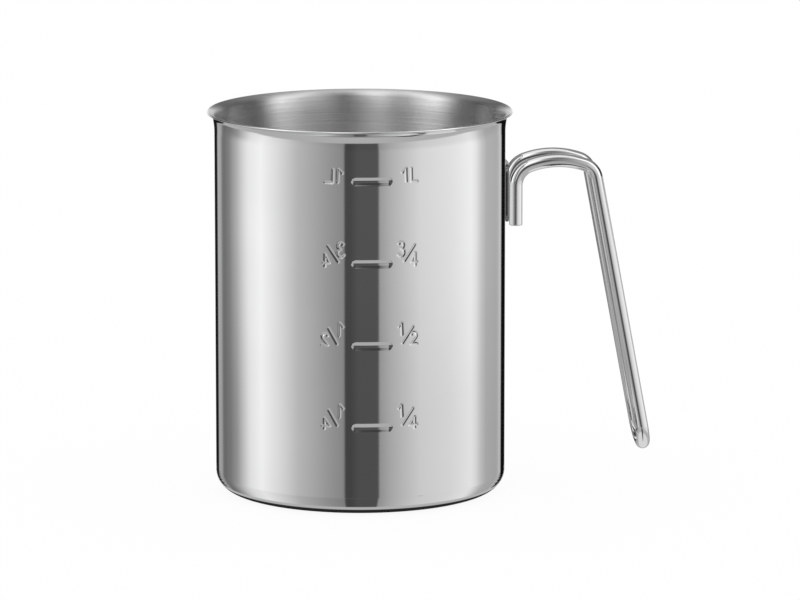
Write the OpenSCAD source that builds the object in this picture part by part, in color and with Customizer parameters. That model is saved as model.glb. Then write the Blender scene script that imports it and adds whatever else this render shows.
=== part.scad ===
// Measuring jug: a drawn sheet-metal cup with a pressed scale and a welded wire handle.
// Millimetres. The origin is the centre of the base's underside, +Z is up, the handle points along +X.

/* [Cup] */
// Outside diameter of the straight wall
body_d = 105.4; // [90:0.1:130]
// Height of the rim above the level of the largest volume
head_room = 19.7; // [8:0.1:40]
// Thickness of the sheet
sheet_t = 0.8; // [0.6:0.05:1.2]
// Outside radius of the corner between the base and the wall
corner_r = 7; // [4:0.5:14]

/* [Rim] */
// Radius of the outward flare, on its underside
flare_r = 2.5; // [2:0.1:6]
// How far the flare turns outwards from upright, in degrees
flare_turn = 75; // [40:1:85]
// Radius of the gentle curve that leads from the wall into the flare
ease_r = 25; // [10:1:40]
// How far that gentle curve turns outwards, in degrees
ease_turn = 12; // [4:1:20]

/* [Scale] */
// Volume from one bar to the next, in millilitres
step_ml = 250; // [150:10:300]
// Number of bars
step_count = 4; // [3:1:6]
// Direction that the middle of the bars faces, in degrees from the handle
scale_turn = -91.4; // [-150:0.1:-60]
// Length of a bar along the wall
bar_len = 14.6; // [8:0.2:24]
// Height of a bar on the outside of the wall
bar_h = 3; // [2:0.1:5]
// How deep a bar is pressed into the wall
bar_depth = 0.4; // [0.3:0.05:0.8]

/* [Handle] */
// Diameter of the handle's rod
wire_d = 4.8; // [3:0.1:6]
// Distance between the two rods of the handle, centre to centre
rods_apart = 15.8; // [12:0.2:24]
// Height of the rim above the lower ends of the legs
leg_drop = 42; // [36:0.5:60]
// Length of the upright part of a leg
leg_len = 14.5; // [12:0.5:20]
// Bend radius from the leg into the crown, on the rod's centre line
leg_bend_r = 7.7; // [5:0.1:12]
// Slope at which the crown starts, in degrees above level
crown_rise = 19; // [5:1:30]
// Radius of the shallow crown on top of the handle
crown_r = 31; // [20:0.5:45]
// Slope at which the crown ends, in degrees below level
crown_fall = 19; // [5:1:30]
// Bend radius from the crown into the grip
grip_bend_r = 6.2; // [4:0.1:12]
// Lean of the grip away from upright, in degrees
grip_lean = 10.6; // [0:0.2:20]
// Height of the handle's lower end above the table
tip_z = 11.8; // [2:0.1:40]

/* [Saddle plate] */
// Thickness of the plate between the wall and the legs
plate_t = 1.3; // [0.8:0.1:2.5]
// How far the plate reaches sideways past the middle of each leg
plate_margin = 3.6; // [3:0.1:8]
// How far the plate reaches above the upright part of the legs
plate_rise = 8; // [0:0.5:10]
// Radius of the plate's corners
plate_corner_r = 3; // [1:0.5:6]
// How far the feet of the legs stand out below the plate
foot_reach = 1.5; // [0:0.1:4]
// Diameter of a spot-weld dimple in the plate
dimple_d = 4; // [2:0.2:5]
// Depth of a spot-weld dimple
dimple_depth = 0.3; // [0.1:0.05:0.5]

/* [Welds] */
// Gap between pieces that are welded together
seat_gap = 0.05; // [0.02:0.01:0.1]
// Radius of a weld bead between a leg and the plate
bead_r = 1; // [0.6:0.1:1.6]
// How far a bead stops short of the plate's lower edge and of the leg's bend
bead_inset = 1.5; // [0.5:0.1:3]

/* [Hidden] */
$fn = 180;
arc_steps = 12;

body_r = body_d / 2;
inner_r = body_r - sheet_t;
inner_corner_r = corner_r - sheet_t;
edge_r = sheet_t / 2;
wire_r = wire_d / 2;

// Volume that the rounded corner takes from a square-cornered cup: a spandrel turned about the axis
corner_loss = (1 - PI / 4) * inner_corner_r ^ 2 * 2 * PI
    * (inner_r - inner_corner_r * (10 - 3 * PI) / (12 - 3 * PI));

// A bar's lower edge lies at the level of its volume
function fill_z(ml) = sheet_t + (ml * 1000 + corner_loss) / (PI * inner_r ^ 2);
function bar_z(i) = fill_z(step_ml * i) + bar_h / 2;

// A gentle curve leads from the wall into the flare, and both turn about points outside the wall
flare_mid_r = flare_r + edge_r;
body_h = fill_z(step_ml * step_count) + head_room;
flare_axis = [
    body_r + ease_r - (ease_r - flare_r) * cos(ease_turn),
    body_h - edge_r - flare_mid_r * sin(flare_turn)
];
ease_axis = [body_r + ease_r, flare_axis[1] - (ease_r - flare_r) * sin(ease_turn)];
rim_edge = flare_axis + flare_mid_r * [-cos(flare_turn), sin(flare_turn)];

// A bar is pressed by a round-nosed tool, whose nose meets the wall over the bar's height
nose_r = (bar_h ^ 2 / 4 + bar_depth ^ 2) / (2 * bar_depth);
nose_axis_r = body_r + nose_r - bar_depth;
bar_turn = bar_len / body_r * 180 / PI;
rib_turn = (bar_len + 2 * sheet_t) / body_r * 180 / PI;

plate_in_r = body_r + seat_gap;
plate_out_r = plate_in_r + plate_t;
leg_foot_z = body_h - leg_drop;
bend_z = leg_foot_z + leg_len;
plate_z = leg_foot_z + foot_reach;
plate_w = rods_apart + 2 * plate_margin;
plate_h = bend_z + plate_rise - plate_z;
plate_mid_z = plate_z + plate_h / 2;

// The legs stand on the plate's outer face
leg_axis_r = plate_out_r + seat_gap + wire_r;
leg_y = rods_apart / 2;
leg_x = sqrt(leg_axis_r ^ 2 - leg_y ^ 2);
leg_turn = atan2(leg_y, leg_x);

// Centre line of one rod in the plane of the handle: each arc turns clockwise from one heading to the next
function beside(p, heading, r) = p + r * [sin(heading), -cos(heading)];
function arc_end(p, r, from, to) = beside(p, from, r) - r * [sin(to), -cos(to)];
grip_heading = grip_lean - 90;
bend_start = [leg_x, bend_z];
crown_start = arc_end(bend_start, leg_bend_r, 90, crown_rise);
crown_end = arc_end(crown_start, crown_r, crown_rise, -crown_fall);
grip_start = arc_end(crown_end, grip_bend_r, -crown_fall, grip_heading);
grip_end_z = tip_z + wire_r + leg_y * cos(grip_lean);
grip_len = (grip_start[1] - grip_end_z) / cos(grip_lean);
grip_end = grip_start + grip_len * [cos(grip_heading), sin(grip_heading)];

// A knuckle stands this proud of the rod, and the stretches end this far short of each other's joint
knuckle_proud = 0.03;
knuckle_inset = 0.1;

// Extra length of a cutter past the face it cuts
cut_past = 1;

// Points along an arc about c, from one angle to another
function arc(c, r, from, to) = [
    for (i = [0:arc_steps])
        let (a = from + (to - from) * i / arc_steps)
            c + r * [cos(a), sin(a)]
];

// Half section of the cup: up the outside, round the rim's edge and down the inside
module cup_section() {
    corner_axis = [body_r - corner_r, corner_r];
    polygon(concat(
        [[0, 0]],
        arc(corner_axis, corner_r, -90, 0),
        arc(ease_axis, ease_r, 180, 180 - ease_turn),
        arc(flare_axis, flare_r, 180 - ease_turn, 180 - flare_turn),
        arc(rim_edge, edge_r, -flare_turn, 180 - flare_turn),
        arc(flare_axis, flare_r + sheet_t, 180 - flare_turn, 180 - ease_turn),
        arc(ease_axis, ease_r + sheet_t, 180 - ease_turn, 180),
        arc(corner_axis, inner_corner_r, 0, -90),
        [[0, sheet_t]]
    ));
}

// Bar-shaped ring pieces, bent along the wall, at the height of each volume
module bars(r, turn) {
    for (i = [1:step_count])
        translate([0, 0, bar_z(i)])
            rotate([0, 0, scale_turn - turn / 2])
                rotate_extrude(angle = turn)
                    translate([nose_axis_r, 0])
                        circle(r = r);
}

module cup() {
    color("lightgray")
        difference() {
            union() {
                rotate_extrude()
                    cup_section();
                intersection() {
                    bars(nose_r + sheet_t, rib_turn);
                    cylinder(r = body_r - edge_r, h = body_h);
                }
            }
            bars(nose_r, bar_turn);
        }
}

module plate_outline() {
    inset_w = plate_w / 2 - plate_corner_r;
    inset_h = plate_h / 2 - plate_corner_r;
    square([2 * inset_w, plate_h], center = true);
    square([plate_w, 2 * inset_h], center = true);
    for (u = [-1, 1], v = [-1, 1])
        translate([u * inset_w, v * inset_h])
            circle(r = plate_corner_r);
}

module handle_plate() {
    dimple_r = (dimple_d ^ 2 / 4 + dimple_depth ^ 2) / (2 * dimple_depth);
    color("silver")
        difference() {
            intersection() {
                translate([0, 0, plate_mid_z])
                    rotate([90, 0, 90])
                        linear_extrude(height = plate_out_r + cut_past)
                            plate_outline();
                cylinder(r = plate_out_r, h = body_h);
            }
            cylinder(r = plate_in_r, h = body_h);
            for (level = [-1, 1])
                translate([plate_out_r + dimple_r - dimple_depth, 0, plate_mid_z + level * plate_h / 4])
                    sphere(r = dimple_r);
        }
}

// A ball at a joint of the rod, a hair larger than the rod, joins two stretches of it
module knuckle(p) {
    translate([p[0], 0, p[1]])
        sphere(r = wire_r + knuckle_proud);
}

// A bend of the rod in the plane of the handle, which ends inside the knuckles
module bend(p, r, from, to) {
    c = beside(p, from, r);
    trim = knuckle_inset / r * 180 / PI;
    translate([c[0], 0, c[1]])
        rotate([90, 0, 0])
            rotate([0, 0, to + 90 + trim])
                rotate_extrude(angle = from - to - 2 * trim)
                    translate([r, 0])
                        circle(r = wire_r);
}

module rod() {
    translate([leg_x, 0, leg_foot_z])
        cylinder(r = wire_r, h = leg_len - knuckle_inset);
    bend(bend_start, leg_bend_r, 90, crown_rise);
    bend(crown_start, crown_r, crown_rise, -crown_fall);
    bend(crown_end, grip_bend_r, -crown_fall, grip_heading);
    translate([grip_start[0], 0, grip_start[1]])
        rotate([0, 180 - grip_lean, 0])
            translate([0, 0, knuckle_inset])
                cylinder(r = wire_r, h = grip_len - 2 * knuckle_inset);
    for (p = [bend_start, crown_start, crown_end, grip_start, grip_end])
        knuckle(p);
}

module handle_wire() {
    trim = knuckle_inset / leg_y * 180 / PI;
    color("silver") {
        for (side = [-1, 1])
            translate([0, side * leg_y, 0])
                rod();
        translate([grip_end[0], 0, grip_end[1]])
            rotate([0, 90 - grip_lean, 0])
                rotate([0, 0, trim - 90])
                    rotate_extrude(angle = 180 - 2 * trim)
                        translate([leg_y, 0])
                            circle(r = wire_r);
    }
}

// A bead lies in the groove on the inner side of each leg and fills it from the plate to the rod
module leg_welds() {
    groove = bead_r + wire_r / 2;
    bead_z = plate_z + bead_inset;
    bead_len = bend_z - bead_inset - bead_z;
    color("darkgray")
        for (leg = [-1, 1])
            rotate([0, 0, leg * leg_turn])
                difference() {
                    translate([plate_out_r + bead_r / 2, -leg * groove, bead_z])
                        cylinder(r = bead_r, h = bead_len);
                    translate([0, 0, plate_z])
                        cylinder(r = plate_out_r, h = plate_h);
                    translate([leg_axis_r, 0, leg_foot_z])
                        cylinder(r = wire_r, h = leg_len);
                }
}

cup();
handle_plate();
handle_wire();
leg_welds();
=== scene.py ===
import math

import bpy
import numpy as np
from mathutils import Matrix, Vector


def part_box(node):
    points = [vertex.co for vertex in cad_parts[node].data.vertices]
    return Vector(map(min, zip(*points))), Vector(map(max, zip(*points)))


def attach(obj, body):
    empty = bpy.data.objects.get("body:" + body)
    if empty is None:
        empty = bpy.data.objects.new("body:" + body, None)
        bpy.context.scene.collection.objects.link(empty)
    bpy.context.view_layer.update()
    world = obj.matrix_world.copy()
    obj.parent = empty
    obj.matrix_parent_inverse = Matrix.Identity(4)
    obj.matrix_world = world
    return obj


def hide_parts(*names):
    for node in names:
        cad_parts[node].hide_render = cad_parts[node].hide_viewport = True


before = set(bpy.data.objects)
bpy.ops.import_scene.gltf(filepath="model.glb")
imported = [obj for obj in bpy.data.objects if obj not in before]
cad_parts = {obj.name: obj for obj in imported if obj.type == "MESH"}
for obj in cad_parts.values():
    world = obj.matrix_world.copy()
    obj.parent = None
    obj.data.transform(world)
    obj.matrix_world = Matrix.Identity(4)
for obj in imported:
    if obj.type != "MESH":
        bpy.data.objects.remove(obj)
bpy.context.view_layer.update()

MM = 0.001
QUARTER = math.pi / 2
UP = np.array([0.0, 0.0, 1.0])

# Cup, as in the solids
BODY_R = 52.7 * MM
SHEET_T = 0.8 * MM
CORNER_R = 7 * MM
BODY_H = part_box("cup")[1][2]
RIM_R = min(-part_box("cup")[0][0], -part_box("cup")[0][1])
FLARE_R = 2.5 * MM
FLARE_TURN = math.radians(75)
EASE_R = 25 * MM
EASE_TURN = math.radians(12)

# Scale, as in the solids but for the depth of its bars, which are 0.4 mm deep there
SCALE_TURN = math.radians(-91.4)
STEP_VOLUME = 250e-6
STEP_COUNT = 4
BAR_LEN = 14.6 * MM
BAR_H = 3 * MM
BAR_DEPTH = 0.27 * MM

# Numerals of the scale: a block on each side of a bar, the left one mirrored
NUMERAL_GAP = 9.1 * MM
STROKE_HALF = 0.7 * MM
STROKE_DEPTH = 0.18 * MM

# Handle, as in the solids
WIRE_R = 2.4 * MM
RODS_APART = 15.8 * MM
LEG_DROP = 42 * MM
LEG_LEN = 14.5 * MM
LEG_BEND_R = 7.7 * MM
CROWN_R = 31 * MM
CROWN_SLOPE = math.radians(19)
GRIP_BEND_R = 6.2 * MM
GRIP_LEAN = math.radians(10.6)
TIP_Z = 11.8 * MM
FOOT_ROUND = 0.5 * MM

# Saddle plate and welds, as in the solids
SEAT_GAP = 0.05 * MM
PLATE_T = 1.3 * MM
PLATE_MARGIN = 3.6 * MM
PLATE_RISE = 8 * MM
PLATE_CORNER_R = 3 * MM
PLATE_EDGE_R = 0.35 * MM
FOOT_REACH = 1.5 * MM
DIMPLE_D = 4 * MM
DIMPLE_DEPTH = 0.3 * MM
BEAD_R = 1 * MM
BEAD_INSET = 1.5 * MM
RIPPLE_DEPTH = 0.07
RIPPLE_COUNT = 9
BEAD_END_POWER = 10

# Places that follow from them
PLATE_OUT_R = BODY_R + SEAT_GAP + PLATE_T
LEG_AXIS_R = PLATE_OUT_R + SEAT_GAP + WIRE_R
LEG_Y = RODS_APART / 2
LEG_X = math.sqrt(LEG_AXIS_R ** 2 - LEG_Y ** 2)
LEG_TURN = math.asin(LEG_Y / LEG_AXIS_R)
FOOT_Z = BODY_H - LEG_DROP
BEND_Z = FOOT_Z + LEG_LEN
PLATE_LOW = FOOT_Z + FOOT_REACH
PLATE_HIGH = BEND_Z + PLATE_RISE

# Fineness of the cup: grid steps on the marks and on plain wall, outside and inside, room of the marks
# below and above a bar's middle and to each side of it, and points on each stretch of the section
MARK_STEP = 0.28 * MM
PLAIN_STEP = 4 * MM
INSIDE_MARK_STEP = 0.9 * MM
INSIDE_PLAIN_STEP = 5 * MM
PLAIN_TURN = math.radians(2.6)
MARK_ROOM = (-2.4 * MM, 9.2 * MM)
MARK_REACH = 19.5 * MM
SLOPE_STEP = 0.02 * MM
HUB_R = 4 * MM
BASE_RINGS = 10
CORNER_POINTS = 18
INNER_CORNER_POINTS = 14
EASE_POINTS = 8
FLARE_POINTS = 14
EDGE_POINTS = 9

# Fineness of the other pieces: points on each stretch, on rounded edges and round a section
LEG_POINTS = 8
BEND_POINTS = 18
CROWN_POINTS = 22
GRIP_POINTS = 24
TURN_POINTS = 28
ROUND_POINTS = 6
WIRE_SIDES = 44
PLATE_CORNER_POINTS = 8
PLATE_SIDE_STEPS = (16, 6, 16, 6)
PLATE_RINGS = 26
PLATE_HUB = 0.04
PLATE_BACK_SKIP = 3
BEAD_POINTS = 70
BEAD_SIDES = 20

# Camera: it looks across the handle, from a little above the rim
CAMERA_TURN = math.radians(-6.4)
CAMERA_SIDE = 14.5 * MM
CAMERA_BACK = 1988.7 * MM
CAMERA_UP = 427.65 * MM
CAMERA_PITCH = math.radians(10.22)
CAMERA_LENS = 249.87
SENSOR_W = 36.0


# Helpers for meshes

def ring_quads(rows, cols):
    """Faces of a grid, rows by columns, whose columns close into rings."""
    ring = np.arange(cols)
    after = (ring + 1) % cols
    low = np.arange(rows - 1)[:, None] * cols
    high = low + cols
    return np.stack([low + ring, low + after, high + after, high + ring], axis=-1).reshape(-1, 4)


def grid_part(points, normals, start_pole, end_pole):
    """Points, normals and faces of a tube-like grid, rows by columns: the columns close into rings,
    and each end of the rows runs to a pole, given as a point and a normal."""
    rows, cols = points.shape[:2]
    ring = np.arange(cols)
    after = (ring + 1) % cols
    start = np.full(cols, rows * cols)
    last = (rows - 1) * cols
    first_fan = np.stack([start, after, ring], axis=-1)
    last_fan = np.stack([start + 1, last + ring, last + after], axis=-1)
    all_points = np.vstack([points.reshape(-1, 3), start_pole[0], end_pole[0]])
    all_normals = np.vstack([normals.reshape(-1, 3), start_pole[1], end_pole[1]])
    faces = ring_quads(rows, cols).tolist() + first_fan.tolist() + last_fan.tolist()
    return all_points, all_normals, faces


def joined_mesh(name, parts):
    """One smooth mesh of grid parts, shaded by their own normals."""
    points = np.vstack([part[0] for part in parts])
    normals = np.vstack([part[1] for part in parts])
    faces = []
    offset = 0
    for part_points, _, part_faces in parts:
        faces += [[offset + corner for corner in face] for face in part_faces]
        offset += len(part_points)
    mesh = bpy.data.meshes.new(name)
    mesh.from_pydata(points.tolist(), [], faces)
    mesh.shade_smooth()
    length = np.linalg.norm(normals, axis=1, keepdims=True)
    mesh.normals_split_custom_set_from_vertices((normals / length).tolist())
    mesh.validate()
    return mesh


def add_piece(name, mesh, finishes):
    """Adds a piece that stands for the solid of the same name and rides on the jug's one body."""
    piece = bpy.data.objects.new(name, mesh)
    bpy.context.scene.collection.objects.link(piece)
    for finish in finishes:
        mesh.materials.append(finish)
    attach(piece, "root")
    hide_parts(name)
    return piece


def arc(centre, radius, start, end, count):
    """Points on a circle's arc in a plane, and the directions from its centre to them."""
    angle = np.linspace(start, end, count)
    away = np.stack([np.cos(angle), np.sin(angle)], axis=-1)
    return np.asarray(centre) + radius * away, away


def around_z(angle):
    """Directions outwards and along a circle about Z, at these angles."""
    flat = np.zeros_like(angle)
    out = np.stack([np.cos(angle), np.sin(angle), flat], axis=-1)
    side = np.stack([-np.sin(angle), np.cos(angle), flat], axis=-1)
    return out, side


# Scale pressed into the cup's wall

def bar_levels():
    """Heights of the bars' middles: a bar's lower edge is at the height where the cup holds its volume,
    which is the volume over the inner area, plus what the rounded corner takes away."""
    inner_r = BODY_R - SHEET_T
    corner = CORNER_R - SHEET_T
    spandrel = (1 - math.pi / 4) * corner ** 2
    middle_r = inner_r - corner * (10 - 3 * math.pi) / (12 - 3 * math.pi)
    loss = spandrel * 2 * math.pi * middle_r
    volumes = STEP_VOLUME * np.arange(1, STEP_COUNT + 1)
    return SHEET_T + (volumes + loss) / (math.pi * inner_r ** 2) + BAR_H / 2


def bow(centre, reach, start, end, count=9):
    """Points on an arc of an ellipse, with angles in degrees."""
    angle = np.radians(np.linspace(start, end, count))
    away = np.stack([np.cos(angle), np.sin(angle)], axis=-1)
    return (np.asarray(centre) + np.asarray(reach) * away).tolist()


# Strokes of each sign in a box one wide and one high
SIGNS = {
    "1": [[(0.0, 0.70), (0.40, 0.90), (0.62, 1.0), (0.70, 0.0)]],
    "2": [bow((0.47, 0.72), (0.47, 0.28), 165, -35) + [(0.0, 0.0), (1.0, 0.0)]],
    "3": [
        bow((0.42, 0.77), (0.44, 0.23), 150, -80),
        bow((0.42, 0.27), (0.54, 0.27), 85, -150),
    ],
    "4": [[(0.72, 1.0), (0.0, 0.28), (1.0, 0.28)], [(0.72, 1.0), (0.72, 0.0)]],
    "L": [[(0.0, 1.0), (0.04, 0.0), (1.0, 0.0)]],
    "/": [[(0.0, 0.0), (1.0, 1.0)]],
}

# Signs of each block with their boxes, in millimetres: distance from the block's edge near the bar,
# height over the bar's middle, width and height
ONE_OVER = (("1", (0.65, 4.0, 1.6, 4.2)), ("/", (1.9, 0.95, 4.0, 5.7)))
MARKS = (
    ONE_OVER + (("4", (4.65, -0.4, 2.7, 3.9)),),
    ONE_OVER + (("2", (5.2, 0.4, 2.2, 4.2)),),
    (("3", (0.5, 2.65, 2.1, 5.2)), ("/", (2.6, 1.0, 3.9, 5.6)), ("4", (5.3, -0.8, 2.0, 4.5))),
    (("1", (1.85, 0.0, 2.2, 4.6)), ("L", (5.25, -0.2, 2.2, 4.7))),
)
MIRRORED_ONE_OVER = (("1", (1.3, 4.0, 1.7, 4.4)), ("/", (3.3, 0.95, 3.1, 5.5)))
MIRRORED_MARKS = (
    MIRRORED_ONE_OVER + (("4", (6.1, -0.4, 2.7, 3.9)),),
    MIRRORED_ONE_OVER + (("2", (6.7, 0.4, 2.2, 4.2)),),
    (("3", (1.05, 2.65, 2.2, 5.2)), ("/", (2.8, 1.0, 3.8, 5.6)), ("4", (6.1, -0.8, 2.2, 4.5))),
    (("1", (1.4, 0.0, 2.2, 4.6)), ("L", (4.7, -0.2, 2.8, 4.7))),
)


def numeral_strokes():
    """Straight pieces of all numerals, as start and end points in the wall's own plane: along the wall
    from the middle of the bars, and height."""
    starts, ends = [], []
    for blocks, side in ((MARKS, 1), (MIRRORED_MARKS, -1)):
        for block, level in zip(blocks, bar_levels()):
            for sign, (left, low, width, height) in block:
                for stroke in SIGNS[sign]:
                    path = np.array(stroke) * [width, height] + [left, low]
                    path = (path * MM + [NUMERAL_GAP, level]) * [side, 1]
                    starts.append(path[:-1])
                    ends.append(path[1:])
    return np.concatenate(starts), np.concatenate(ends)


def nearest_stroke(along, height, starts, ends):
    """Distance from each point to the nearest of the straight pieces."""
    nearest = np.full(along.shape, np.inf)
    for (ax, ay), (bx, by) in zip(starts, ends):
        dx, dy = bx - ax, by - ay
        share = np.clip(((along - ax) * dx + (height - ay) * dy) / (dx * dx + dy * dy), 0, 1)
        distance = np.hypot(along - ax - share * dx, height - ay - share * dy)
        nearest = np.minimum(nearest, distance)
    return nearest


STROKES = numeral_strokes()
BAR_HALF = (BAR_LEN - BAR_H) / 2
BARS = tuple(
    np.stack([np.full(STEP_COUNT, end), bar_levels()], axis=-1) for end in (-BAR_HALF, BAR_HALF)
)
NOSE_R = (BAR_H ** 2 / 4 + BAR_DEPTH ** 2) / (2 * BAR_DEPTH)


def pressed(along, height):
    """Depth to which the wall is pressed in: under a bar the arc of the round-nosed tool, under a
    numeral's stroke half a cosine wave."""
    to_bar = nearest_stroke(along, height, *BARS)
    inside = np.clip(NOSE_R ** 2 - to_bar ** 2, 0, None)
    bar = np.clip(np.sqrt(inside) - (NOSE_R - BAR_DEPTH), 0, None)
    to_stroke = np.clip(nearest_stroke(along, height, *STROKES) / STROKE_HALF, 0, 1)
    return np.maximum(bar, STROKE_DEPTH * (0.5 + 0.5 * np.cos(math.pi * to_stroke)))


def slopes(field, along, height):
    """Slope of a field on the wall's plane, along the wall and upwards: the difference over a short
    step to both sides."""
    step = SLOPE_STEP
    along_wall = (field(along + step, height) - field(along - step, height)) / (2 * step)
    upwards = (field(along, height + step) - field(along, height - step)) / (2 * step)
    return along_wall, upwards


# Cup

def stretches(low, high, centres, room, fine, coarse):
    """Places from low to high, closely spaced in the room about each centre and widely spaced
    elsewhere."""
    edges = [low]
    for centre in sorted(centres):
        edges += [max(centre + room[0], low), min(centre + room[1], high)]
    edges.append(high)
    places = []
    for index, (start, end) in enumerate(zip(edges[:-1], edges[1:])):
        step = fine if index % 2 else coarse
        count = max(2, int(math.ceil((end - start) / step)) + 1)
        places.append(np.linspace(start, end, count)[:-1])
    return np.append(np.concatenate(places), high)


def cup_profile():
    """Half section of the cup: radius and height, outward normal, whether a point is on the straight
    wall, and where the inside starts. It runs from near the middle of the underside up the outside,
    round the rim's edge, and down the inside."""
    half_t = SHEET_T / 2
    flare_mid = FLARE_R + half_t
    reach = EASE_R - FLARE_R
    flare = np.array([
        BODY_R + EASE_R - reach * math.cos(EASE_TURN),
        BODY_H - half_t - flare_mid * math.sin(FLARE_TURN),
    ])
    ease = np.array([BODY_R + EASE_R, flare[1] - reach * math.sin(EASE_TURN)])
    edge = flare + flare_mid * np.array([-math.cos(FLARE_TURN), math.sin(FLARE_TURN)])
    corner = np.array([BODY_R - CORNER_R, CORNER_R])
    ease_end = math.pi - EASE_TURN
    flare_end = math.pi - FLARE_TURN
    straight = (CORNER_R, ease[1], bar_levels(), MARK_ROOM)
    outer_z = stretches(*straight, MARK_STEP, PLAIN_STEP)[1:-1]
    inner_z = stretches(*straight, INSIDE_MARK_STEP, INSIDE_PLAIN_STEP)[1:-1][::-1]
    base_r = np.linspace(HUB_R, corner[0], BASE_RINGS)[:-1]
    under = np.stack([base_r, np.zeros_like(base_r)], axis=-1)
    outer_wall = np.stack([np.full_like(outer_z, BODY_R), outer_z], axis=-1)
    inner_wall = np.stack([np.full_like(inner_z, BODY_R - SHEET_T), inner_z], axis=-1)
    floor = np.stack([base_r[::-1], np.full_like(base_r, SHEET_T)], axis=-1)
    outer_corner, outer_corner_n = arc(corner, CORNER_R, -QUARTER, 0, CORNER_POINTS)
    ease_under, ease_under_n = arc(ease, EASE_R, math.pi, ease_end, EASE_POINTS)
    flare_under, flare_under_n = arc(flare, FLARE_R, ease_end, flare_end, FLARE_POINTS)
    rim, rim_n = arc(edge, half_t, -FLARE_TURN, flare_end, EDGE_POINTS)
    flare_top, flare_top_n = arc(flare, FLARE_R + SHEET_T, flare_end, ease_end, FLARE_POINTS)
    ease_top, ease_top_n = arc(ease, EASE_R + SHEET_T, ease_end, math.pi, EASE_POINTS)
    inner_r = CORNER_R - SHEET_T
    inner_corner, inner_corner_n = arc(corner, inner_r, 0, -QUARTER, INNER_CORNER_POINTS)
    outside = (
        (under, np.array([[0.0, -1.0]]), 0),
        (outer_corner, outer_corner_n, 0),
        (outer_wall, np.array([[1.0, 0.0]]), 1),
        (ease_under, -ease_under_n, 0),
        (flare_under[1:], -flare_under_n[1:], 0),
        (rim[1:-1], rim_n[1:-1], 0),
    )
    inside = (
        (flare_top, flare_top_n, 0),
        (ease_top[1:], ease_top_n[1:], 0),
        (inner_wall, np.array([[-1.0, 0.0]]), 1),
        (inner_corner, -inner_corner_n, 0),
        (floor, np.array([[0.0, 1.0]]), 0),
    )
    parts = outside + inside
    points = np.concatenate([part[0] for part in parts])
    points[:, 0] = np.minimum(points[:, 0], RIM_R)
    normals = np.concatenate([np.broadcast_to(part[1], part[0].shape) for part in parts])
    wall = np.concatenate([np.full(len(part[0]), part[2], float) for part in parts])
    inside_from = sum(len(part[0]) for part in outside)
    return points, normals, wall, inside_from


def cup_mesh():
    """The half section turned about Z. On the straight wall, both faces of the sheet move in by the
    pressed depth, so that a mark is a groove outside and a ridge inside, and the normal leans by the
    slope of that depth."""
    section, section_n, wall, inside_from = cup_profile()
    reach = MARK_REACH / BODY_R
    fine = MARK_STEP / BODY_R
    around = stretches(-math.pi, math.pi, (0.0,), (-reach, reach), fine, PLAIN_TURN)[:-1]
    out, side = around_z(SCALE_TURN + around)
    along = np.broadcast_to(around * BODY_R, (len(section), len(around)))
    height = np.broadcast_to(section[:, 1:2], along.shape)
    on_wall = wall[:, None]
    depth = pressed(along, height) * on_wall
    lean_side, lean_up = (slope * on_wall for slope in slopes(pressed, along, height))
    radius = section[:, 0:1] - depth
    points = radius[..., None] * out + height[..., None] * UP
    n_r = section_n[:, 0:1, None]
    n_z = section_n[:, 1:2, None]
    normals = n_r * (out + lean_side[..., None] * side + lean_up[..., None] * UP) + n_z * UP
    part = grid_part(points, normals, ((0, 0, 0), -UP), ((0, 0, SHEET_T), UP))
    mesh = joined_mesh("cup", [part])
    cols = len(around)
    rows = len(section)
    finish = np.zeros(len(mesh.polygons), dtype=np.int32)
    finish[inside_from * cols:(rows - 1) * cols] = 1
    finish[rows * cols:] = 1
    mesh.polygons.foreach_set("material_index", finish)
    return mesh


# Handle

def rod_path():
    """Centre line of one rod in the plane of the handle, and its heading at each point, from the leg's
    foot to the start of the U-turn: an upright leg, a tight bend, a shallow crown, a second tight bend
    and the leaning grip. Each bend is an arc that takes over the heading of the stretch before it."""
    leg_z = np.linspace(FOOT_Z, BEND_Z, LEG_POINTS)
    points = [np.stack([np.full_like(leg_z, LEG_X), leg_z], axis=-1)]
    headings = [np.full_like(leg_z, QUARTER)]
    at = points[0][-1]
    heading = QUARTER
    bends = (
        (LEG_BEND_R, CROWN_SLOPE, BEND_POINTS),
        (CROWN_R, -CROWN_SLOPE, CROWN_POINTS),
        (GRIP_BEND_R, GRIP_LEAN - QUARTER, BEND_POINTS),
    )
    for radius, leaving, count in bends:
        centre = at + radius * np.array([math.sin(heading), -math.cos(heading)])
        stretch, _ = arc(centre, radius, heading + QUARTER, leaving + QUARTER, count)
        points.append(stretch[1:])
        headings.append(np.linspace(heading, leaving, count)[1:])
        at = stretch[-1]
        heading = leaving
    end_z = TIP_Z + WIRE_R + LEG_Y * math.cos(GRIP_LEAN)
    length = (at[1] - end_z) / math.cos(GRIP_LEAN)
    share = np.linspace(0, 1, GRIP_POINTS)[1:]
    down = np.array([math.cos(heading), math.sin(heading)])
    points.append(at + share[:, None] * length * down)
    headings.append(np.full_like(share, heading))
    return np.concatenate(points), np.concatenate(headings)


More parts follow.
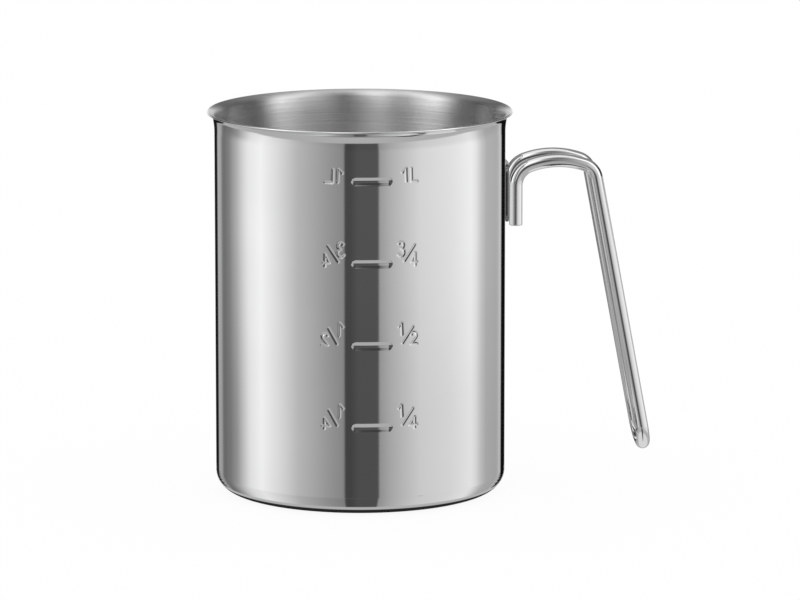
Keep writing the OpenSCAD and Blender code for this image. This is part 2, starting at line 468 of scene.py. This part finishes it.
def handle_path():
    """Centre line of the whole wire with the direction ahead and a direction across it: down one rod,
    round the U-turn in the plane of the two grips, and up the other rod to its foot. Across lies in the
    plane of a rod, and keeps to the normal of the grips' plane in the U-turn, so it never twists."""
    rod, heading = rod_path()
    level = np.zeros(len(rod))
    near = np.stack([rod[:, 0], level - LEG_Y, rod[:, 1]], axis=-1)
    near_ahead = np.stack([np.cos(heading), level, np.sin(heading)], axis=-1)
    near_across = np.stack([np.sin(heading), level, -np.cos(heading)], axis=-1)
    turn = np.linspace(-QUARTER, QUARTER, TURN_POINTS)[1:-1]
    down = near_ahead[-1]
    loop = np.stack([
        rod[-1, 0] + LEG_Y * np.cos(turn) * down[0],
        LEG_Y * np.sin(turn),
        rod[-1, 1] + LEG_Y * np.cos(turn) * down[2],
    ], axis=-1)
    loop_ahead = np.stack([
        -np.sin(turn) * down[0],
        np.cos(turn),
        -np.sin(turn) * down[2],
    ], axis=-1)
    loop_across = np.broadcast_to(near_across[-1], loop.shape)
    path = np.concatenate([near, loop, (near * [1, -1, 1])[::-1]])
    ahead = np.concatenate([near_ahead, loop_ahead, -near_ahead[::-1]])
    across = np.concatenate([near_across, loop_across, near_across[::-1]])
    return path, ahead, across


def wire_mesh():
    """A circle carried along the handle's centre line. Both ends are rounded over a quarter circle at
    the edge."""
    path, ahead, across = handle_path()
    beside = np.cross(ahead, across)
    turn = np.linspace(0, QUARTER, ROUND_POINTS)
    back = FOOT_ROUND * (1 - np.sin(turn))
    thin = WIRE_R - FOOT_ROUND * (1 - np.cos(turn))
    last = len(path) - 1
    index = np.concatenate([
        np.zeros(ROUND_POINTS, int), np.arange(1, last), np.full(ROUND_POINTS, last),
    ])
    centre = path[index]
    centre[:ROUND_POINTS] += back[::-1, None] * ahead[0]
    centre[-ROUND_POINTS:] -= back[:, None] * ahead[-1]
    radius = np.full(len(index), WIRE_R)
    radius[:ROUND_POINTS] = thin[::-1]
    radius[-ROUND_POINTS:] = thin
    lean = np.zeros(len(index))
    lean[:ROUND_POINTS] = -np.sin(turn[::-1])
    lean[-ROUND_POINTS:] = np.sin(turn)
    angle = np.linspace(0, 2 * math.pi, WIRE_SIDES, endpoint=False)[None, :, None]
    out = np.cos(angle) * across[index][:, None] + np.sin(angle) * beside[index][:, None]
    points = centre[:, None] + radius[:, None, None] * out
    lean = lean[:, None, None]
    normals = out * np.sqrt(1 - lean ** 2) + ahead[index][:, None] * lean
    part = grid_part(points, normals, (path[0], -ahead[0]), (path[-1], ahead[-1]))
    return joined_mesh("handle_wire", [part])


# Saddle plate

def plate_outline(half_w, half_h, corner):
    """Outline of a rectangle with round corners, as points on the rectangle inside its corners and
    directions away from them, once round, with the straight sides cut into short steps so that they
    can be bent."""
    core = np.array([half_w - corner, half_h - corner])
    signs = np.array([(1, 1), (-1, 1), (-1, -1), (1, -1)])
    middles, aways = [], []
    for quarter, steps in enumerate(PLATE_SIDE_STEPS):
        angle = QUARTER * (quarter + np.linspace(0, 1, PLATE_CORNER_POINTS))
        start = signs[quarter] * core
        end = signs[(quarter + 1) % 4] * core
        share = (np.arange(1, steps) / steps)[:, None]
        round_away = np.stack([np.cos(angle), np.sin(angle)], axis=-1)
        middles += [np.broadcast_to(start, round_away.shape), start + share * (end - start)]
        aways += [round_away, np.broadcast_to(round_away[-1], (steps - 1, 2))]
    return np.concatenate(middles), np.concatenate(aways)


DIMPLE_R = (DIMPLE_D ** 2 / 4 + DIMPLE_DEPTH ** 2) / (2 * DIMPLE_DEPTH)
DIMPLE_APART = (PLATE_HIGH - PLATE_LOW) / 2


def dimpled(along, height):
    """Depth of the two spot-weld dimples, one over the other, each a shallow cap of a ball."""
    off = np.hypot(along, np.abs(height) - DIMPLE_APART / 2)
    ball = np.sqrt(np.clip(DIMPLE_R ** 2 - off ** 2, 0, None))
    return np.clip(ball - (DIMPLE_R - DIMPLE_DEPTH), 0, None)


def plate_mesh():
    """Rings of a rounded rectangle, each the outline made smaller, from the middle of the back over the
    rounded edges to the middle of the outer face, bent round the cup's wall, with the spot-weld dimples
    in the outer face."""
    half_w = LEG_Y + PLATE_MARGIN
    half_h = (PLATE_HIGH - PLATE_LOW) / 2
    middle, away = plate_outline(half_w, half_h, PLATE_CORNER_R)
    turn = np.linspace(0, QUARTER, ROUND_POINTS)
    face = np.linspace(PLATE_HUB, 1, PLATE_RINGS) * (half_h - PLATE_EDGE_R)
    back = face[::PLATE_BACK_SKIP]
    round_in = PLATE_EDGE_R * (1 - np.cos(turn))
    round_up = PLATE_EDGE_R * np.sin(turn)
    inward = np.concatenate([half_h - back, round_in[::-1][1:], round_in, half_h - face[::-1]])
    lift = np.concatenate([
        np.zeros(len(back)), PLATE_EDGE_R - round_up[::-1][1:],
        PLATE_T - PLATE_EDGE_R + round_up, np.full(len(face), PLATE_T),
    ])
    tilt = np.concatenate([
        np.full(len(back), -1.0), -np.sin(turn[::-1])[1:], np.sin(turn), np.ones(len(face)),
    ])[:, None, None]
    shrink = (1 - inward / half_h)[:, None, None]
    flat = (middle + away * PLATE_CORNER_R) * shrink
    bend = np.arcsin(flat[..., 0] / (BODY_R + SEAT_GAP + lift[:, None]))
    height = flat[..., 1]
    on_face = (lift == PLATE_T)[:, None]
    along = bend * PLATE_OUT_R
    dent = dimpled(along, height) * on_face
    lean_side, lean_up = (slope * on_face for slope in slopes(dimpled, along, height))
    out, side = around_z(bend)
    middle_z = (PLATE_LOW + PLATE_HIGH) / 2
    radius = BODY_R + SEAT_GAP + lift[:, None] - dent
    points = radius[..., None] * out + (middle_z + height)[..., None] * UP
    edge = side * away[None, :, 0:1] + UP * away[None, :, 1:2]
    leaning = out + lean_side[..., None] * side + lean_up[..., None] * UP
    normals = tilt * leaning + np.sqrt(1 - tilt ** 2) * edge
    back_pole = ((BODY_R + SEAT_GAP, 0, middle_z), (-1, 0, 0))
    face_pole = ((PLATE_OUT_R, 0, middle_z), (1, 0, 0))
    return joined_mesh("handle_plate", [grid_part(points, normals, back_pole, face_pole)])


# Welds

def weld_mesh():
    """Two beads as one mesh: each is a tube up the groove on a leg's inner side, whose radius swells
    and shrinks in ripples and fades to a point at both ends."""
    low = PLATE_LOW + BEAD_INSET
    high = BEND_Z - BEAD_INSET
    groove = BEAD_R + WIRE_R / 2
    share = np.linspace(0, 1, BEAD_POINTS)[1:-1]
    height = low + share * (high - low)
    ripple = 1 - RIPPLE_DEPTH + RIPPLE_DEPTH * np.cos(share * 2 * math.pi * RIPPLE_COUNT)
    swell = BEAD_R * np.sqrt(1 - (2 * share - 1) ** BEAD_END_POWER) * ripple
    angle = np.linspace(0, 2 * math.pi, BEAD_SIDES, endpoint=False)
    away, _ = around_z(angle)
    rise = np.gradient(swell, height)
    parts = []
    for leg in (-1, 1):
        out, side = around_z(np.array(leg * LEG_TURN))
        foot = (PLATE_OUT_R + BEAD_R / 2) * out - leg * groove * side
        turned = away[:, 0:1] * out + away[:, 1:2] * side
        points = foot + swell[:, None, None] * turned + height[:, None, None] * UP
        normals = turned - rise[:, None, None] * UP
        parts.append(grid_part(points, normals, (foot + low * UP, -UP), (foot + high * UP, UP)))
    return joined_mesh("leg_welds", parts)


# Materials

class Term:
    """A shader socket that takes part in Python arithmetic. Each operator adds one Math node."""

    def __init__(self, tree, socket=None):
        self.tree = tree
        self.socket = socket

    def node(self, kind, settings, inputs, output=0):
        """Adds a node of this type, makes its settings, then fills its sockets with values or links,
        and gives one of its outputs."""
        made = self.tree.nodes.new(kind)
        for name, value in settings.items():
            setattr(made, name, value)
        for name, value in inputs.items():
            if isinstance(value, Term):
                self.tree.links.new(value.socket, made.inputs[name])
            else:
                made.inputs[name].default_value = value
        return Term(self.tree, made.outputs[output]) if len(made.outputs) else None

    def math(self, operation, first, second=0.0):
        """Adds one Math node for this operation."""
        return self.node("ShaderNodeMath", {"operation": operation}, {0: first, 1: second})

    def __add__(self, other):
        return self.math("ADD", self, other)

    def __sub__(self, other):
        return self.math("SUBTRACT", self, other)

    def __mul__(self, other):
        return self.math("MULTIPLY", self, other)

    __radd__ = __add__
    __rmul__ = __mul__


# Steel in general: tones of dull and clean places, size of smudges, fineness of working lines, their
# height, and the turn that lays drawn-out reflections across rings
DULL_TONE = 0.96
CLEAN_TONE = 1.03
SMUDGE_SCALE = 38.0
SMUDGE_DETAIL = 3.0
LINE_DETAIL = 4.0
LINE_HEIGHT = 0.2 * MM
ACROSS_RINGS = 0.25


def new_material(name):
    """An empty node material, its node maker and the point on the object."""
    material = bpy.data.materials.new(name)
    material.use_nodes = True
    tree = material.node_tree
    tree.nodes.clear()
    maker = Term(tree)
    return material, maker, maker.node("ShaderNodeTexCoord", {}, {}, "Object")


def grain(maker, place, scales, detail):
    """Noise about one half, drawn out along the directions with small scales."""
    spread = maker.node("ShaderNodeMapping", {}, {"Vector": place, "Scale": scales})
    sockets = {"Vector": spread, "Scale": 1.0, "Detail": detail}
    return maker.node("ShaderNodeTexNoise", {}, sockets, "Fac")


def ringed_place(maker, place):
    """The point with its height traded for height less radius, so that grain along it runs in rings
    both on an upright wall and on a level floor."""
    split = {"Vector": place}
    x, y, z = (maker.node("ShaderNodeSeparateXYZ", {}, split, axis) for axis in "XYZ")
    radius = maker.math("SQRT", x * x + y * y)
    return maker.node("ShaderNodeCombineXYZ", {}, {"X": x, "Y": y, "Z": z - radius})


def steel(
    name, colour, rough, smudge_rough, line_rough, line_scale, bump, ringed=False, stretch=0.0,
):
    """Bare steel: the colour breathes a little, roughness has soft smudges and fine working lines, and
    the lines also lift the surface by a trace. Where the lines run in rings, stretch draws reflections
    out across them."""
    material, maker, place = new_material(name)
    line_place = ringed_place(maker, place) if ringed else place
    lines = grain(maker, line_place, line_scale, LINE_DETAIL)
    smudge = grain(maker, place, (SMUDGE_SCALE,) * 3, SMUDGE_DETAIL)
    dull = tuple(DULL_TONE * c for c in colour) + (1,)
    clean = tuple(CLEAN_TONE * c for c in colour) + (1,)
    tones = {"Factor": smudge, "A": dull, "B": clean}
    tone = maker.node("ShaderNodeMix", {"data_type": "RGBA"}, tones, "Result")
    lift = {"Strength": bump, "Distance": LINE_HEIGHT, "Height": lines}
    lifted = maker.node("ShaderNodeBump", {}, lift)
    shader = maker.node("ShaderNodeBsdfPrincipled", {}, {
        "Base Color": tone,
        "Roughness": rough + smudge_rough * (smudge - 0.5) + line_rough * (lines - 0.5),
        "Metallic": 1.0,
        "Anisotropic": stretch,
        "Anisotropic Rotation": ACROSS_RINGS if stretch else 0.0,
        "Normal": lifted,
    })
    maker.node("ShaderNodeOutputMaterial", {}, {"Surface": shader})
    return material


# Studio

# Panels of the studio, in pairs: degrees round from the camera towards its right, and light level. The
# low panels are below eye level, where the wall looks, the high panels above it, where the inside
# looks, and the top panels lead over to the ceiling, where the rim and the top of the handle look. The
# back panel stands behind the jug. The left panel adds light to the low panels, or takes some away, for
# the left of the wall towards its base. The panels below are where the flare of the rim looks.
PANELS = {
    "low": (
        (-180, 0.45), (-172, 0.45), (-168, 0.01), (-154.5, 0.01), (-150.5, 0.47), (-146, 0.42),
        (-142.5, 0.40), (-138, 0.20), (-134, 0.18), (-128, 0.22), (-124, 0.26), (-112, 0.50),
        (-103, 0.78), (-97, 0.93), (-83, 1.05), (-67, 0.83), (-49, 0.54), (-24, 0.35), (-12.1, 0.28),
        (-11.1, 0.07), (-7, 0.07), (-1, 0.095), (14.2, 0.095), (15.4, 0.37), (24, 0.50), (48, 0.77),
        (76, 0.87), (97, 1.0), (103, 0.90), (110, 0.66), (118, 0.50), (136, 0.46), (141, 0.50),
        (145, 0.64), (148.5, 0.5), (150.5, 0.005), (167, 0.005), (171, 0.45), (180, 0.45),
    ),
    "high": (
        (-180, 0.12), (-140, 0.12), (-125, 0.03), (-100, 0.03), (-90, 0.15), (-80, 0.9), (-68, 2.0),
        (-56, 1.3), (-40, 0.5), (-29, 0.3), (-17, 0.76), (-10, 0.4), (-5, 0.12), (2, 0.06), (15, 0.05),
        (17, 0.2), (25, 0.45), (32, 0.7), (52, 0.7), (62, 1.1), (71, 2.0), (79, 1.3), (86, 0.4),
        (95, 0.06), (110, 0.03), (125, 0.03), (140, 0.12), (180, 0.12),
    ),
    "top": (
        (-180, 0.28), (-100, 0.28), (-80, 0.9), (-66, 1.7), (-52, 0.9), (-40, 0.8), (-25, 1.2),
        (-12, 1.5), (-2, 1.2), (5, 0.75), (9, 0.4), (14, 0.28), (22, 0.15), (30, 0.3), (41, 0.45),
        (54, 0.8), (68, 1.7), (80, 0.9), (100, 0.28), (180, 0.28),
    ),
    "back": ((-180, 0.9), (-153, 0.9), (-140, 0), (140, 0), (153, 0.9), (180, 0.9)),
    "left": (
        (-180, 0), (-128, 0), (-114, -0.09), (-103, -0.06), (-94, 0.04), (-85, 0.08), (-60, 0.08),
        (-14, 0.03), (-12, 0), (180, 0),
    ),
    "below": ((-180, 0.5), (-60, 0.5), (-40, 0.2), (40, 0.2), (60, 0.5), (180, 0.5)),
    "floor": ((-180, 0.47), (180, 0.47)),
    "ceiling": ((-180, 0.9), (180, 0.9)),
}

# Rows of the drum, from the middle of its floor up to the middle of its ceiling: radius and height in
# metres, and shares of the panels
DRUM_R = 1.2
DRUM_TOP = 1.5
DRUM_BOTTOM = -0.75
DRUM_ROWS = (
    (0.02, DRUM_BOTTOM, {"below": 1}),
    (0.4, DRUM_BOTTOM, {"below": 1}),
    (0.6, DRUM_BOTTOM, {"floor": 1}),
    (DRUM_R, DRUM_BOTTOM, {"floor": 1}),
    (DRUM_R, -0.41, {"floor": 1}),
    (DRUM_R, -0.385, {"low": 0.86, "left": 0.6}),
    (DRUM_R, -0.21, {"low": 0.88, "left": 1}),
    (DRUM_R, -0.10, {"low": 1}),
    (DRUM_R, -0.02, {"low": 1}),
    (DRUM_R, 0, {"low": 1, "back": 1}),
    (DRUM_R, 0.07, {"low": 1, "back": 1}),
    (DRUM_R, 0.16, {"high": 1, "back": 0.8}),
    (DRUM_R, 0.32, {"high": 1, "back": 0.8}),
    (DRUM_R, 0.42, {"high": 1}),
    (DRUM_R, 0.5, {"high": 1}),
    (DRUM_R, 1.1, {"top": 1}),
    (0.7, DRUM_TOP, {"top": 1}),
    (0.55, DRUM_TOP, {"ceiling": 1}),
    (0.02, DRUM_TOP, {"ceiling": 1}),
)

# Rows of the bench under the foot: radius in metres, light level, share of the low panels. The dark
# level under the jug is painted shade
BENCH_DROP = 0.2 * MM
BENCH_ROWS = (
    (0.001, 0.02, 0), (0.0500, 0.02, 0), (0.0506, 0.5, 0), (0.0521, 0.5, 0), (0.0528, 0, 0.86),
    (0.0535, 0, 0.86), (0.055, 0, 0.86), (0.058, 0, 0.86), (0.062, 0, 0.86), (0.067, 0, 0.86),
    (0.072, 0, 0.86),
)

# Card under the handle's lower end: sizes in metres, share left open in its middle, light levels, and
# where round from the camera its tongue lies
TIP_CARD_DROP = 0.04
TIP_CARD_R = 0.07
TIP_CARD_HUB = 0.02
TIP_CARD_LIGHT = 0.75
TIP_CARD_DARK = 0.06
TIP_TONGUE_LEN = 0.15
TIP_TONGUE = ((-180, 0), (-12.1, 0), (-11.1, 1), (14.2, 1), (15.4, 0), (180, 0))

# Floor: hole and radius in metres, drop, tone, and share of even light in it
FLOOR_RINGS = (0.001, 9.0)
FLOOR_DROP = 0.3 * MM
FLOOR_TONE = (0.97, 0.97, 0.97, 1)
FLOOR_EVEN = 0.93
WHITE = (1, 1, 1, 1)

# Columns of the studio's grids
DRUM_SIDES = 1440
RING_SIDES = 720
FLOOR_SIDES = 96


def round_about(sides):
    """Degrees from the camera, once round, in this many steps."""
    return np.linspace(-180, 180, sides, endpoint=False)


def level_at(around, panel):
    """Light level of a panel at these degrees from the camera, straight between its pairs."""
    return np.interp(around, *np.array(panel).T)


def from_camera(around):
    """Angles about Z of directions given in degrees round from the camera towards its right."""
    return np.radians(around) - QUARTER + CAMERA_TURN


def glow_material(name):
    """Light whose strength is the mesh's own attribute, not sampled as a lamp."""
    material, maker, _ = new_material(name)
    level = maker.node("ShaderNodeAttribute", {"attribute_name": "glow"}, {}, "Fac")
    light = maker.node("ShaderNodeEmission", {}, {"Color": WHITE, "Strength": level})
    maker.node("ShaderNodeOutputMaterial", {}, {"Surface": light})
    material.cycles.emission_sampling = "NONE"
    return material


def add_stage(name, points, glow, material):
    """Adds a grid of the studio, its columns closed into rings, with its light levels as an
    attribute."""
    quads = ring_quads(*points.shape[:2])
    mesh = bpy.data.meshes.new(name)
    mesh.from_pydata(points.reshape(-1, 3).tolist(), [], quads.tolist())
    level = mesh.attributes.new("glow", "FLOAT", "POINT")
    level.data.foreach_set("value", glow.reshape(-1).astype(np.float32))
    mesh.materials.append(material)
    screen = bpy.data.objects.new(name, mesh)
    bpy.context.scene.collection.objects.link(screen)
    return screen


def only_in_reflections(screen):
    """Leaves a piece of the studio out of the picture itself, and out of the floor's light."""
    screen.visible_camera = False
    screen.visible_diffuse = False
    screen.visible_shadow = False


def add_drum():
    """A closed drum round the jug: each row is a circle, and its light is the sum of its shares of the
    panels."""
    around = round_about(DRUM_SIDES)
    levels = {name: level_at(around, panel) for name, panel in PANELS.items()}
    out, _ = around_z(from_camera(around))
    points = np.array([radius * out + height * UP for radius, height, _ in DRUM_ROWS])
    glow = np.array([
        sum(share * levels[name] for name, share in shares.items()) for _, _, shares in DRUM_ROWS
    ])
    only_in_reflections(add_stage("drum", points, glow, glow_material("drum_light")))


def add_bench_shade_and_light():
    """The patch of bench round the foot, seen only in reflections: painted shade under the jug, a pale
    ring at its edge, and then the panels again. A look that leaves the wall at one angle from the
    camera heads off at twice that angle, so each ring shows the panel that it would have met, by the
    law of sines."""
    around = round_about(RING_SIDES)
    radius, plain, share = np.array(BENCH_ROWS).T[:, :, None]
    leaving = np.linspace(-90, 90, RING_SIDES + 1)
    sine = np.sin(np.radians(leaving)) * BODY_R / np.maximum(radius, BODY_R)
    met = 2 * leaving - np.degrees(np.arcsin(sine))
    heading = np.array([np.interp(around, ring, 2 * leaving) for ring in met])
    out, _ = around_z(from_camera(around))
    points = radius[:, :, None] * out - BENCH_DROP * UP
    # The plain level of the rows under the jug is painted shade
    glow = plain + share * level_at(heading, PANELS["low"])
    only_in_reflections(add_stage("bench", points, glow, glow_material("bench_shade_and_light")))


def add_tip_card():
    """A light card a little under the lower end of the handle, out of the wall's sight: a disc about
    the place under the nearer rod, drawn out into a dark tongue towards the camera."""
    around = round_about(RING_SIDES)
    dark = level_at(around, TIP_TONGUE)
    out, _ = around_z(from_camera(around))
    rod, _ = rod_path()
    centre = np.array([rod[-1, 0], -LEG_Y, -TIP_CARD_DROP])
    reach = TIP_CARD_R + (TIP_TONGUE_LEN - TIP_CARD_R) * dark
    points = centre + np.stack([TIP_CARD_HUB * reach, reach])[:, :, None] * out
    level = TIP_CARD_LIGHT + (TIP_CARD_DARK - TIP_CARD_LIGHT) * dark
    glow = np.broadcast_to(level, points.shape[:2])
    only_in_reflections(add_stage("tip_card", points, glow, glow_material("tip_card_light")))


def add_floor():
    """A pale floor, mostly lit evenly to the camera so that it reads as white, with the rest left to
    the light so that it keeps a trace of the jug's shadow."""
    out, _ = around_z(np.linspace(0, 2 * math.pi, FLOOR_SIDES, endpoint=False))
    points = np.array(FLOOR_RINGS)[:, None, None] * out - FLOOR_DROP * UP
    material, maker, _ = new_material("pale_floor")
    looks = ("Is Camera Ray", "Is Glossy Ray", "Is Transmission Ray")
    camera, glossy, through = (maker.node("ShaderNodeLightPath", {}, {}, look) for look in looks)
    matt = maker.node("ShaderNodeBsdfDiffuse", {}, {"Color": FLOOR_TONE})
    even = maker.node("ShaderNodeEmission", {}, {"Color": WHITE, "Strength": 1.0})
    share = FLOOR_EVEN * (camera + glossy + through)
    mixed = maker.node("ShaderNodeMixShader", {}, {0: share, 1: matt, 2: even})
    maker.node("ShaderNodeOutputMaterial", {}, {"Surface": mixed})
    floor = add_stage("floor", points, np.zeros(points.shape[:2]), material)
    floor.visible_glossy = False


def add_world():
    """Even white all round, for the camera and for the floor's light."""
    world = bpy.data.worlds.new("studio")
    world.use_nodes = True
    background = world.node_tree.nodes["Background"]
    background.inputs["Color"].default_value = WHITE
    background.inputs["Strength"].default_value = 1.0
    bpy.context.scene.world = world


def add_camera():
    """The photograph's viewpoint: turned about the cup's axis, set back and up, and pitched down."""
    data = bpy.data.cameras.new("camera")
    data.lens = CAMERA_LENS
    data.sensor_width = SENSOR_W
    camera = bpy.data.objects.new("camera", data)
    bpy.context.scene.collection.objects.link(camera)
    stand = Matrix.Translation((CAMERA_SIDE, -CAMERA_BACK, CAMERA_UP))
    aim = Matrix.Rotation(QUARTER - CAMERA_PITCH, 4, "X")
    camera.matrix_world = Matrix.Rotation(CAMERA_TURN, 4, "Z") @ stand @ aim
    bpy.context.scene.camera = camera


add_camera()
add_world()
add_floor()
add_drum()
add_bench_shade_and_light()
add_tip_card()

# Finishes: colour, roughness, what smudges and working lines add to it, and the lines' scales and lift
polished_wall = steel(
    "polished_wall", (0.85, 0.86, 0.855), 0.05, 0.03, 0.02, (30.0, 30.0, 5200.0), 0.02, ringed=True,
)
brushed_inside = steel(
    "brushed_inside", (0.83, 0.835, 0.83), 0.33, 0.05, 0.2, (30.0, 30.0, 1300.0), 0.45, ringed=True,
    stretch=1.0,
)
polished_wire = steel(
    "polished_wire", (0.88, 0.885, 0.88), 0.10, 0.04, 0.03, (900.0, 900.0, 900.0), 0.02,
)
# The plate's satin steel is painted dark: painted shade for the narrow gap between the cup's wall and
# the wire
satin_plate_painted_shade = steel(
    "satin_plate_painted_shade", (0.25, 0.25, 0.245), 0.2, 0.08, 0.08, (2600.0, 2600.0, 120.0), 0.1,
)
weld_metal = steel(
    "weld_metal", (0.60, 0.58, 0.55), 0.34, 0.12, 0.14, (1400.0, 1400.0, 1400.0), 0.3,
)

add_piece("cup", cup_mesh(), [polished_wall, brushed_inside])
handle_pieces = (
    add_piece("handle_plate", plate_mesh(), [satin_plate_painted_shade]),
    add_piece("handle_wire", wire_mesh(), [polished_wire]),
    add_piece("leg_welds", weld_mesh(), [weld_metal]),
)

# The wall in the photograph shows no mirror image of the handle
for piece in handle_pieces:
    piece.visible_glossy = False

bpy.context.scene.view_settings.view_transform = "Standard"
